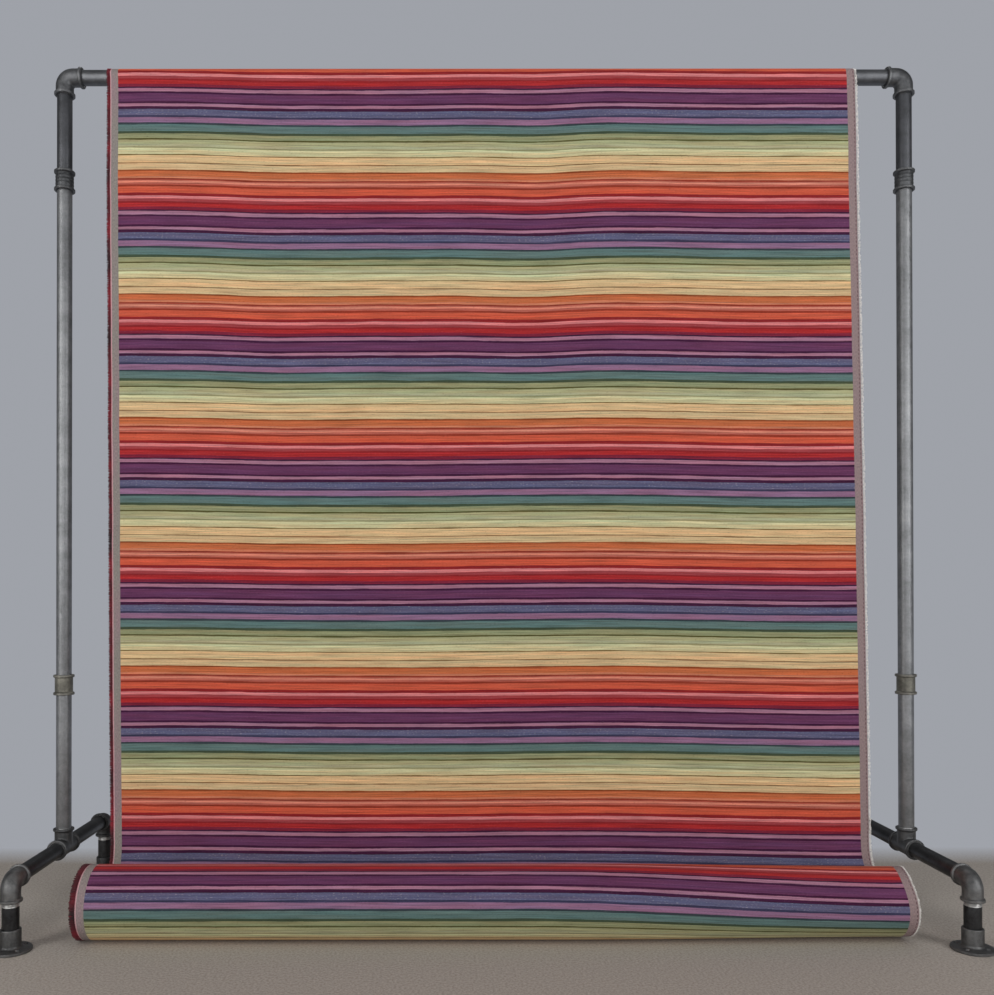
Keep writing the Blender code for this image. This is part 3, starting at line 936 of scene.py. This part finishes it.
# %% Rows of the drawn cloth
def course():
    """Rows of the cloth from its cut end to the roll: (kind, place). A place is a height, turn or share."""
    rows = [("tail", z) for z in np.linspace(TAIL_END, BAR_Z, 90, endpoint=False)]
    rows += [("bar", a) for a in np.linspace(0, math.pi, 17)]
    rows += [("fall", z) for z in np.linspace(BAR_Z, LOOP_START, 190)[1:]]
    rows += [("loop", s) for s in np.linspace(0, 1, 41)[1:]]
    return rows + [("lap", a) for a in np.linspace(-LEAVE, -math.radians(12), 14)[1:]]


def swell(u, z, top, foot):
    """Slow swells of free-hanging cloth, in metres. They die away towards what holds it."""
    held = (1 - ease(z, top - 0.12, top)) * (0.25 + 0.75 * ease(z, foot, foot + 0.2))
    slow = noise.noise((u * 2.3, z * 0.5, 4.1)) * 0.0055 + noise.noise((u * 5.5, z * 1.1, 8.6)) * 0.0016
    return slow * held


LAP_END_THICK = 0.00006


def lap_thick(angle):
    """How thick the lapped cloth is: whole where it lands on the roll, and next to nothing at its end."""
    return LAP_END_THICK + (THICK - LAP_END_THICK) * ease(-angle, math.radians(13), math.radians(40))


def distances(points):
    """How far along a line of points each one lies."""
    return np.concatenate([[0], np.cumsum(np.linalg.norm(np.diff(points, axis=0), axis=1))])


def bezier(points, share):
    a, b, c, d = (np.array(p) for p in points)
    rest = 1 - share
    return rest**3 * a + 3 * rest**2 * share * b + 3 * rest * share**2 * c + share**3 * d

# %% [markdown]
# ## A sheet as a closed skin
#
# Each sheet is a grid of middle points with a normal and a thickness at each. Its two faces are those points
# pushed out and in by half the thickness, and a strip joins them all round the edge, so that the sheet is
# one closed skin, as real cloth is. The grid also carries the two measures that the finish reads.


# %% Build a sheet
def make_skin(name, points, faces, measure, finish):
    """A closed skin from points and faces. Its UV map holds the two measures of every point, in metres."""
    mesh = bpy.data.meshes.new(name)
    mesh.from_pydata(points, [], faces)
    layer = mesh.uv_layers.new(name="metres")
    corners = np.empty(len(mesh.loops), dtype=np.int32)
    mesh.loops.foreach_get("vertex_index", corners)
    layer.data.foreach_set("uv", np.asarray(measure)[corners].ravel().astype(np.float32))
    mesh.materials.append(finish)
    skin = bpy.data.objects.new(name, mesh)
    bpy.context.scene.collection.objects.link(skin)
    return face_outwards(skin)


def ways_of(middles):
    """The direction down the cloth at every point of a grid, and the normal there."""
    along, across = np.gradient(middles, axis=0), np.gradient(middles, axis=1)
    normals = np.cross(across, along)
    return along, normals / np.linalg.norm(normals, axis=-1, keepdims=True)


def grid_faces(rows, columns, offset, flip):
    corner = np.arange(rows - 1)[:, None] * columns + np.arange(columns - 1)[None, :] + offset
    quads = np.stack([corner, corner + 1, corner + columns + 1, corner + columns], axis=-1).reshape(-1, 4)
    return quads[:, ::-1] if flip else quads


def build_sheet(name, middles, normals, thickness, measure, finish):
    """middles and normals are rows x columns x 3, thickness rows x columns, measure rows x columns x 2."""
    rows, columns = middles.shape[:2]
    half = normals * (thickness / 2)[..., None]
    points = np.concatenate([(middles + half).reshape(-1, 3), (middles - half).reshape(-1, 3)])
    count = rows * columns
    rim = [row * columns for row in range(rows)]
    rim += [(rows - 1) * columns + column for column in range(1, columns)]
    rim += [row * columns + columns - 1 for row in range(rows - 2, -1, -1)]
    rim += [column for column in range(columns - 2, 0, -1)]
    rim = np.array(rim)
    after = np.roll(rim, -1)
    strip = np.stack([rim, after, after + count, rim + count], axis=-1)
    upper, lower = grid_faces(rows, columns, 0, True), grid_faces(rows, columns, count, False)
    quads = np.concatenate([upper, lower, strip])
    both = np.concatenate([measure.reshape(-1, 2)] * 2)
    return smooth(make_skin(name, points.tolist(), quads.tolist(), both, finish), 60)


BORDER = np.array([0, 0.004, 0.009, EDGE_WIDE])  # closer columns along both woven edges
INNER = np.linspace(0.03, CLOTH_WIDE - 0.03, 62)
COLUMNS = np.concatenate([BORDER, INNER, CLOTH_WIDE - BORDER[::-1]])
MIDDLE_COLUMN = 32


# %% [markdown]
# ## Laying the rows
#
# Every row of the drawn cloth gives, for each column, a point in the plane across the bar and the way its
# upper face looks. The measure down the cloth is the true length from the pink line, less the droop of the
# weft, and it runs on through the loop so that the stripes meet those of the roll.


# %% Drawn cloth
def edge_sway(s):
    """The cloth's edges aren't ruled lines: they wander by a millimetre or so as it goes down."""
    return 0.0016 * noise.noise((s * 3.1, 0.7, 2.2)) + 0.0006 * noise.noise((s * 14, 5.7, 1.2))


def loop_points(u, count=161):
    start = (-WRAP_R - FALL_LEAN, LOOP_START)
    downwards = np.array([-FALL_LEAN, LOOP_START - BAR_Z])
    downwards /= np.linalg.norm(downwards)
    end = np.array(on_roll(u, -LEAVE, ROLL_R + 0.0003 + THICK / 2))
    forward = np.array([-math.cos(LEAVE), math.sin(LEAVE)])
    slack = 1 - 0.16 * ease(u, 0.72, 1.36)
    pulls = start + downwards * FALL_PULL * slack, end - forward * BOLT_PULL * slack
    shares = np.linspace(0, 1, count)
    points = np.array([bezier((start, *pulls, end), share) for share in shares])
    return shares, points, distances(points)


def roll_measure(u, angle):
    """How far down the cloth a place on the roll's outside is."""
    return REPEAT + ROLL_R * (angle - ROLL_PINK) - roll_slip(u)


def drawn_point(u, kind, place, loop):
    """(y, z, measure down the cloth) of one point of the drawn cloth."""
    top = -(BAR_Z - FIRST_PINK)
    if kind == "tail":
        give = swell(u + 3, place, BAR_Z, TAIL_END - 1)
        down = top - math.pi * WRAP_R - (BAR_Z - place) - droop(u, BAR_Z)
        return WRAP_R + max(give, -0.0002), place, down
    if kind == "bar":
        y, z = WRAP_R * math.cos(place), BAR_Z + WRAP_R * math.sin(place)
        return y, z, top - (math.pi - place) * WRAP_R - droop(u, BAR_Z)
    if kind == "fall":
        lean = FALL_LEAN * (BAR_Z - place) / (BAR_Z - LOOP_START)
        give = swell(u, place, BAR_Z, LOOP_START)
        return -WRAP_R - lean - give, place, FIRST_PINK - place - droop(u, place)
    if kind == "loop":
        shares, points, lengths = loop
        y, z = np.interp(place, shares, points[:, 0]), np.interp(place, shares, points[:, 1])
        gone = np.interp(place, shares, lengths) / lengths[-1]
        first = FIRST_PINK - LOOP_START - droop(u, LOOP_START)
        return y, z, first + gone * (roll_measure(u, -LEAVE) - first)
    y, z = on_roll(u, place, ROLL_R + 0.0003 * ease(-place, 0.2, 0.7) + lap_thick(place) / 2)
    return y, z, roll_measure(u, place)


def lay_drawn_cloth():
    rows = course()
    loops = [loop_points(u) for u in COLUMNS]
    flat = [[drawn_point(u, kind, place, loop) for u, loop in zip(COLUMNS, loops)] for kind, place in rows]
    flat = np.array(flat)
    middles = np.empty((*flat.shape[:2], 3))
    for row, (kind, place) in enumerate(rows):
        z = flat[row, :, 1]
        sway = edge_sway(float(flat[row, MIDDLE_COLUMN, 2])) * (1 if kind in ("tail", "fall") else 0.3)
        if kind in ("loop", "lap"):
            x = roll_x(COLUMNS, place if kind == "loop" else 1.0)
        else:
            x = COLUMNS - CLOTH_WIDE / 2 + np.array([middle_x(h) if kind == "fall" else SHIFT_BAR for h in z])
        middles[row] = np.stack([x + sway, flat[row, :, 0], z], axis=-1)
    along, normals = ways_of(middles)
    thickness = np.array([[lap_thick(p) if kind == "lap" else THICK] * len(COLUMNS) for kind, p in rows])
    measure = np.stack([np.broadcast_to(COLUMNS, flat.shape[:2]), flat[..., 2]], axis=-1)
    sheet = build_sheet("drawn_cloth", middles, normals, thickness, measure, striped_cloth)
    return sheet, middles, normals, along, measure, float(distances(middles[:, MIDDLE_COLUMN])[-1])


drawn, drawn_mid, drawn_normal, drawn_along, drawn_measure, drawn_length = lay_drawn_cloth()
print("the drawn cloth is", round(drawn_length, 3), "m long")

# %% [markdown]
# ## The roll
#
# The roll isn't a cylinder with stripes painted on. It is the rest of the same cloth, wound about thirty
# times round a board tube, so its ends show the edges of the turns. Each turn keeps its radius most of the
# way and steps in by one thickness at the back, where the drawn cloth leaves it. The turns don't line up
# exactly at the ends, because no one winds a roll that well: towards its right end the roll is slimmer, and
# its last turns are tucked in at the front.

# %% Wound cloth
TURN_STEP = THICK  # each turn adds one thickness of cloth
PRESSED_THICK = 0.00108  # leaves a hair's breadth between the turns
TUCK_DEEP, TUCK_AT, TUCK_WIDE = 0.0045, 0.7, 0.65  # metres, and radians forward of the top
low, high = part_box("core_tube")
CORE_R = (high.z - low.z) / 2
TURNS = int((ROLL_R - TURN_STEP / 2 - CORE_R - 0.0006) / TURN_STEP)
STEPS_A_TURN = 72
ROLL_COLUMNS = [0, 3, 4, 14, 24, 34, 38, 42, 46, 50, 54, 58, 61, 63, 65, 66, 69]  # closest where it slims


def spiral(angle_in):
    """The radius after winding in by an angle from the leaving line, in radians."""
    turns, part = divmod(angle_in, math.tau)
    step_in = ease(part, math.radians(292), math.tau)
    return ROLL_R - THICK / 2 - TURN_STEP * (turns + step_in)


def lay_roll():
    angles = np.arange(TURNS * STEPS_A_TURN + 1) * math.tau / STEPS_A_TURN
    radii = np.array([spiral(angle) for angle in angles])
    lengths = np.concatenate([[0], np.cumsum((radii[1:] + radii[:-1]) / 2 * np.diff(angles))])
    columns = COLUMNS[ROLL_COLUMNS]
    middles = np.empty((len(angles), len(columns), 3))
    measure = np.empty((len(angles), len(columns), 2))
    for row, (angle_in, radius, length) in enumerate(zip(angles, radii, lengths)):
        angle = angle_in - LEAVE
        turn = angle_in / math.tau
        uneven = 0.0012 * noise.noise((turn * 1.7, 3.3, 0.4)) + 0.0005 * noise.noise((turn * 9, 1.3, 7.4))
        uneven *= ease(turn, 0.0, 1.5)
        tuck = TUCK_DEEP * math.exp(-(((angle % math.tau) - TUCK_AT) / TUCK_WIDE) ** 2)
        tuck *= 1 - ease(turn, 3, 14)
        wrinkle = 0.00012 * noise.noise((angle_in * 2.1, turn, 5.0))
        for column, u in enumerate(columns):
            y, z = on_roll(u, angle, radius + wrinkle * ease(turn, 1, 2))
            middles[row, column] = roll_x(u) + uneven - tuck * ease(u, 1.15, CLOTH_WIDE), y, z
            measure[row, column] = u, roll_measure(u, -LEAVE) + length
    along, normals = ways_of(middles)
    thickness = np.full(middles.shape[:2], PRESSED_THICK)
    sheet = build_sheet("wound_cloth", middles, normals, thickness, measure, striped_cloth)
    return sheet, middles, normals, along, measure, float(lengths[-1])


wound, wound_mid, wound_normal, wound_along, wound_measure, wound_length = lay_roll()
print("the roll holds", TURNS, "turns,", round(wound_length, 2), "m of cloth")

# %% [markdown]
# ## The fringes
#
# At its left edge the weft yarns are cut to a short dense brush, crimson and black. At its right edge they
# turn back, in small fuzzy cream loops. Thousands of them line the cloth, so each is only a bent strand
# with three sides. All the strands of one edge are made together as one piece of their own. Each ring of a
# strand is laid square to the way the strand goes there, so a loop's skin faces outwards all along it.


# %% Strands along an edge
def lay_strands(name, base, normal, along, measure, way, shape, spacing, finish, seed):
    """Strands out of the cloth's edge. shape(draw) gives a strand's points (out, on, up) and its radii."""
    draw = random.Random(seed)
    reached = distances(base)
    stops_at = np.arange(spacing / 2, reached[-1], spacing)
    root, up, on = (
        np.stack([np.interp(stops_at, reached, grid[:, axis]) for axis in range(3)], axis=-1)
        for grid in (base, normal, along)
    )
    on /= np.linalg.norm(on, axis=-1, keepdims=True)
    up /= np.linalg.norm(up, axis=-1, keepdims=True)
    down_cloth = np.interp(stops_at, reached, measure)
    points, faces, metres = [], [], []
    for place, lift, forth, v in zip(root, up, on, down_cloth):
        line, radii = shape(draw)
        first = len(points)
        for number, ((out, go, rise), radius) in enumerate(zip(line, radii)):
            middle = place + np.array([way * out, 0, 0]) + forth * go + lift * rise
            before, after = line[max(number - 1, 0)], line[min(number + 1, len(line) - 1)]
            heading = math.atan2(after[1] - before[1], after[0] - before[0])
            wide = np.array([-way * math.sin(heading), 0, 0]) + forth * math.cos(heading)
            for side in range(3):
                angle = side * math.tau / 3 + 0.5
                points.append(middle + wide * radius * math.cos(angle) + lift * radius * math.sin(angle))
                metres.append((out, v))
        for ring in range(len(line) - 1):
            for side in range(3):
                a, b = first + ring * 3 + side, first + ring * 3 + (side + 1) % 3
                faces.append((a, b, b + 3, a + 3))
        last = first + (len(line) - 1) * 3
        faces += [(first + 2, first + 1, first), (last, last + 1, last + 2)]
    strands = make_skin(name, [tuple(point) for point in points], faces, metres, finish)
    bpy.ops.object.shade_smooth()
    print(name, len(strands.data.polygons), "faces")
    return strands


def cut_strand(draw, long=(0.0058, 0.0070), most_splay=0.0010, most_lift=0.0008, radii=(0.00095, 0.0006)):
    """A cut weft end: short, straight and splayed."""
    out = draw.uniform(*long)
    splay, lift = draw.uniform(-most_splay, most_splay), draw.uniform(-most_lift, most_lift)
    line = [(-0.0012, 0, 0), (out * 0.6, splay * 0.4, lift * 0.4), (out, splay, lift)]
    return line, (radii[0], *radii)


def wound_strand(draw):
    """The same on the roll, where the turns push the ends out into a thicker brush."""
    return cut_strand(draw, (0.0085, 0.0106), 0.0016, 0.0010, (0.0011, 0.0007))


def looped_strand(draw, longest=0.0052):
    """A turned weft: a small fuzzy loop that comes back to the edge."""
    out, wide = draw.uniform(0.6, 1.0) * longest, draw.uniform(0.0008, 0.0015)
    lean, lift = draw.uniform(-0.0008, 0.0008), draw.uniform(-0.0006, 0.0006)
    line = [(-0.0006, -wide, 0), (out * 0.8, -wide * 0.8 + lean, lift), (out, lean, lift)]
    line += [(out * 0.8, wide * 0.8 + lean, lift), (-0.0006, wide, 0)]
    return line, (0.0004, 0.00062, 0.00070, 0.00062, 0.0004)


def wound_loop(draw):
    """The same on the roll, where the turns hold the loops flatter."""
    return looped_strand(draw, 0.0036)


def dark_fringe(name, black, crimson, bright):
    recipe = Recipe(name, Roughness=0.8, Sheen_Weight=0.05)
    where = recipe.metres()
    long, short = recipe.streaks(where, 0, 14, roughness=0.5), recipe.streaks(where, 40, 420, roughness=0.5)
    color = recipe.ramp(long, [(0.36, black), (0.50, crimson), (0.62, bright)])
    color = recipe.mix(recipe.mask(short, 0.30, 0.42, 0.8, 0.0), color, dyed(34, 12, 20))
    pale = recipe.mask(recipe.streaks(where, 10, 160, 0), 0.76, 0.80)
    return recipe.into(Base_Color=recipe.mix(pale, color, dyed(196, 170, 160)))


def pale_fringe(name):
    recipe = Recipe(name, Roughness=0.9, Sheen_Weight=0.3)
    where = recipe.metres()
    tone = recipe.streaks(where, 300, 330, roughness=0.5)
    color = recipe.ramp(tone, [(0.3, dyed(222, 216, 210)), (0.65, dyed(252, 248, 244))])
    return recipe.into(Base_Color=color)


crimson_ends = dark_fringe("crimson_and_black_ends", dyed(50, 10, 20), dyed(98, 15, 32), dyed(140, 24, 42))
# The roll's cut ends take a darker copy of the same colours: painted shade, for the roll's end and its dense
# brush lie in shade.
shaded_wound_ends = dark_fringe("wound_ends_painted_shade", dyed(34, 8, 16), dyed(84, 12, 26), dyed(118, 18, 36))
cream_loops = pale_fringe("cream_loops")
keep = slice(0, -8)  # the lapped end is too thin to carry strands
drawn_grids = [grid[keep] for grid in (drawn_mid, drawn_normal, drawn_along, drawn_measure[..., 1])]
wound_grids = wound_mid, wound_normal, wound_along, wound_measure[..., 1]
left, right = 0, -1


def fringe(name, grids, edge, shape, spacing, finish, seed):
    way = -1 if edge == left else 1
    return lay_strands(name, *[grid[:, edge] for grid in grids], way, shape, spacing, finish, seed)


drawn_left = fringe("drawn_ends_left", drawn_grids, left, cut_strand, 0.0011, crimson_ends, 11)
drawn_right = fringe("drawn_loops_right", drawn_grids, right, looped_strand, 0.0019, cream_loops, 12)
# The roll's cut ends use the darker copy, which is painted shade.
wound_left = fringe("wound_ends_left", wound_grids, left, wound_strand, 0.0016, shaded_wound_ends, 13)
wound_right = fringe("wound_loops_right", wound_grids, right, wound_loop, 0.0027, cream_loops, 14)

# %% [markdown]
# ## The board tube
#
# The cloth is wound on a tube of grey-brown board, itself wound from a strip of paper, so a fine helical
# joint runs round it. It is a short lathe shape with softened rims.

# %% Board tube
low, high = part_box("core_tube")
CORE_LONG, CORE_X = high.x - low.x, (low.x + high.x) / 2
BORE_R = 0.01905  # fits a rod of an inch and a half
half = CORE_LONG / 2
rim = [(BORE_R + 0.0004, -half), (CORE_R - 0.0005, -half), (CORE_R, 0.0005 - half)]
rim += [(CORE_R, half - 0.0005), (CORE_R - 0.0005, half), (BORE_R + 0.0004, half)]
rim += [(BORE_R, half - 0.0004), (BORE_R, 0.0004 - half)]
tube = turn_on_lathe("board_tube", rim, steps=96)
put(tube, (CORE_X, ROLL_Y, ROLL_Z), (0, math.radians(90), 0))


PAPER_STRIP = 0.085  # how wide the strip of paper is


def board(name):
    recipe = Recipe(name, Roughness=0.88)
    here = recipe.here()
    fibres = recipe.streaks(here, 90, 700, 4, 0.6, deep=700)
    color = recipe.ramp(fibres, [(0.3, dyed(128, 102, 76)), (0.7, dyed(176, 146, 112))])
    move = recipe.add("ShaderNodeMapping", {"Vector": here, "Location": (0, -ROLL_Y, -ROLL_Z)}).outputs[0]
    along, across, up = recipe.parts(move)
    turn = recipe.math("DIVIDE", recipe.math("ARCTAN2", across, up), math.tau)
    ply = recipe.math("FRACT", recipe.math("ADD", recipe.math("MULTIPLY", along, 1 / PAPER_STRIP), turn))
    joint = recipe.math("LESS_THAN", recipe.math("ABSOLUTE", recipe.math("SUBTRACT", ply, 0.5)), 0.006)
    color = recipe.mix(joint, color, dyed(92, 70, 50))
    height = recipe.math("SUBTRACT", fibres, recipe.math("MULTIPLY", joint, 2.0))
    return recipe.into(Base_Color=color, Normal=recipe.bump(height, 0.0002, 0.6))


give_finish(tube, board("tube_board"))
smooth(tube, 40)
stands_for(tube, "core_tube", "bolt", "core_board")

# %% [markdown]
# ## What each sheet is
#
# The frame is told what every sheet was cut to, what holds it, and which fringes go with it.

# %% Tie the cloth to the frame
drawn_nodes = ["cloth_tail", "cloth_over_bar", "cloth_front_fall", "cloth_slack_loop"]
stands_for(drawn, drawn_nodes, "stand", "striped_cloth")
stands_for(wound, "cloth_roll", "bolt", "striped_cloth")
for edging in (drawn_left, drawn_right, wound_left, wound_right):
    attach(edging, "stand" if edging in (drawn_left, drawn_right) else "bolt")

# %% [markdown]
# ## Floor and light
#
# The object stands on a plain pale floor, in a soft even light, as in a studio with a large window on either
# side. That puts a soft line of light down the outer side of each post, and a lamp high up behind lights the
# top of the bar and the back of the cloth. There is no wall, so that the object can be seen from all round.
# Further out, the floor takes on the colour of the room instead, so no horizon shows. The world is a pale
# backdrop to the camera and a dimmer fill to everything else, which keeps the dark edges of the iron dark.

# %% Floor
PALE_ROOM = (0.345, 0.36, 0.395)
FLOOR_WIDE, FLOOR_DROP = 24, 0.0004
select_nothing()
bpy.ops.mesh.primitive_plane_add(size=FLOOR_WIDE, location=(0, 0, -FLOOR_DROP))
floor = name_it("studio_floor")


def pale_floor(name):
    """Fine pale grit near the object, which gives way to the colour of the room further out."""
    recipe = Recipe(name, Roughness=1.0, Specular_IOR_Level=0.0, Emission_Strength=1.0)
    here = recipe.here()
    grit = recipe.spots(here, 260, 4, 0.7)
    grit = recipe.ramp(grit, [(0.3, dyed(150, 142, 134)), (0.7, dyed(196, 188, 180))])
    x, y, _ = recipe.parts(here)
    sides = recipe.between(recipe.math("ABSOLUTE", x), 0, 1, 1.3, 2.1)
    back, front = recipe.between(y, 0, 1, 0.285, 0.42), recipe.between(y, 0, 1, -1.3, -2.2)
    far = recipe.math("MAXIMUM", recipe.math("MAXIMUM", sides, back), front)
    color, glow = recipe.mix(far, grit, grey(0)), recipe.mix(far, grey(0), PALE_ROOM)
    return recipe.into(Base_Color=color, Emission_Color=glow)


give_finish(floor, pale_floor("pale_floor"))
floor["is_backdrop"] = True

# %% Light
world = bpy.data.worlds.new("pale_room")
bpy.context.scene.world = world
world.use_nodes = True
nodes, link = world.node_tree.nodes, world.node_tree.links.new
backdrop, fill = nodes["Background"], nodes.new("ShaderNodeBackground")
backdrop.inputs["Color"].default_value = (*PALE_ROOM, 1)
fill.inputs["Color"].default_value = (0.126, 0.129, 0.135, 1)
seen, either = nodes.new("ShaderNodeLightPath"), nodes.new("ShaderNodeMixShader")
link(seen.outputs["Is Camera Ray"], either.inputs[0])
link(fill.outputs[0], either.inputs[1])
link(backdrop.outputs[0], either.inputs[2])
link(either.outputs[0], nodes["World Output"].inputs[0])


def soft_box(name, place, aim, wide, tall, watts, color=(1.0, 1.0, 1.0)):
    select_nothing()
    bpy.ops.object.light_add(type="AREA", location=place)
    lamp = name_it(name)
    lamp.rotation_euler = (Vector(aim) - Vector(place)).to_track_quat("-Z", "Y").to_euler()
    lamp.data.shape = "RECTANGLE"
    lamp.data.size, lamp.data.size_y = wide, tall
    lamp.data.energy, lamp.data.color = watts, color


soft_box("window_left", (-2.1, -1.9, 1.3), (-0.4, 0, 0.8), 0.9, 2.4, 28, (1.0, 0.99, 0.97))
soft_box("window_right", (2.1, -1.9, 1.3), (0.4, 0, 0.8), 0.9, 2.4, 28)
soft_box("ceiling", (0, -1.4, 3.4), (0, 0.1, 0.2), 3.2, 2.0, 9)
soft_box("front", (0, -5.5, 1.6), (0, 0, 0.7), 3.0, 2.6, 76)
soft_box("behind", (0, 2.0, 4.4), (0, 0.3, 0.5), 3.0, 1.0, 30)
bpy.context.scene.view_settings.view_transform = "Standard"

# %% [markdown]
#
# The looks must not change the size. The box of the frame and the box of the finished pieces are printed
# side by side.

# %% Finish
sizes["visual"] = [list(corner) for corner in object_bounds()]
{key: [[float(c) for c in corner] for corner in box] for key, box in sizes.items()}
print("frame", sizes["cad"], "looks", sizes["visual"])
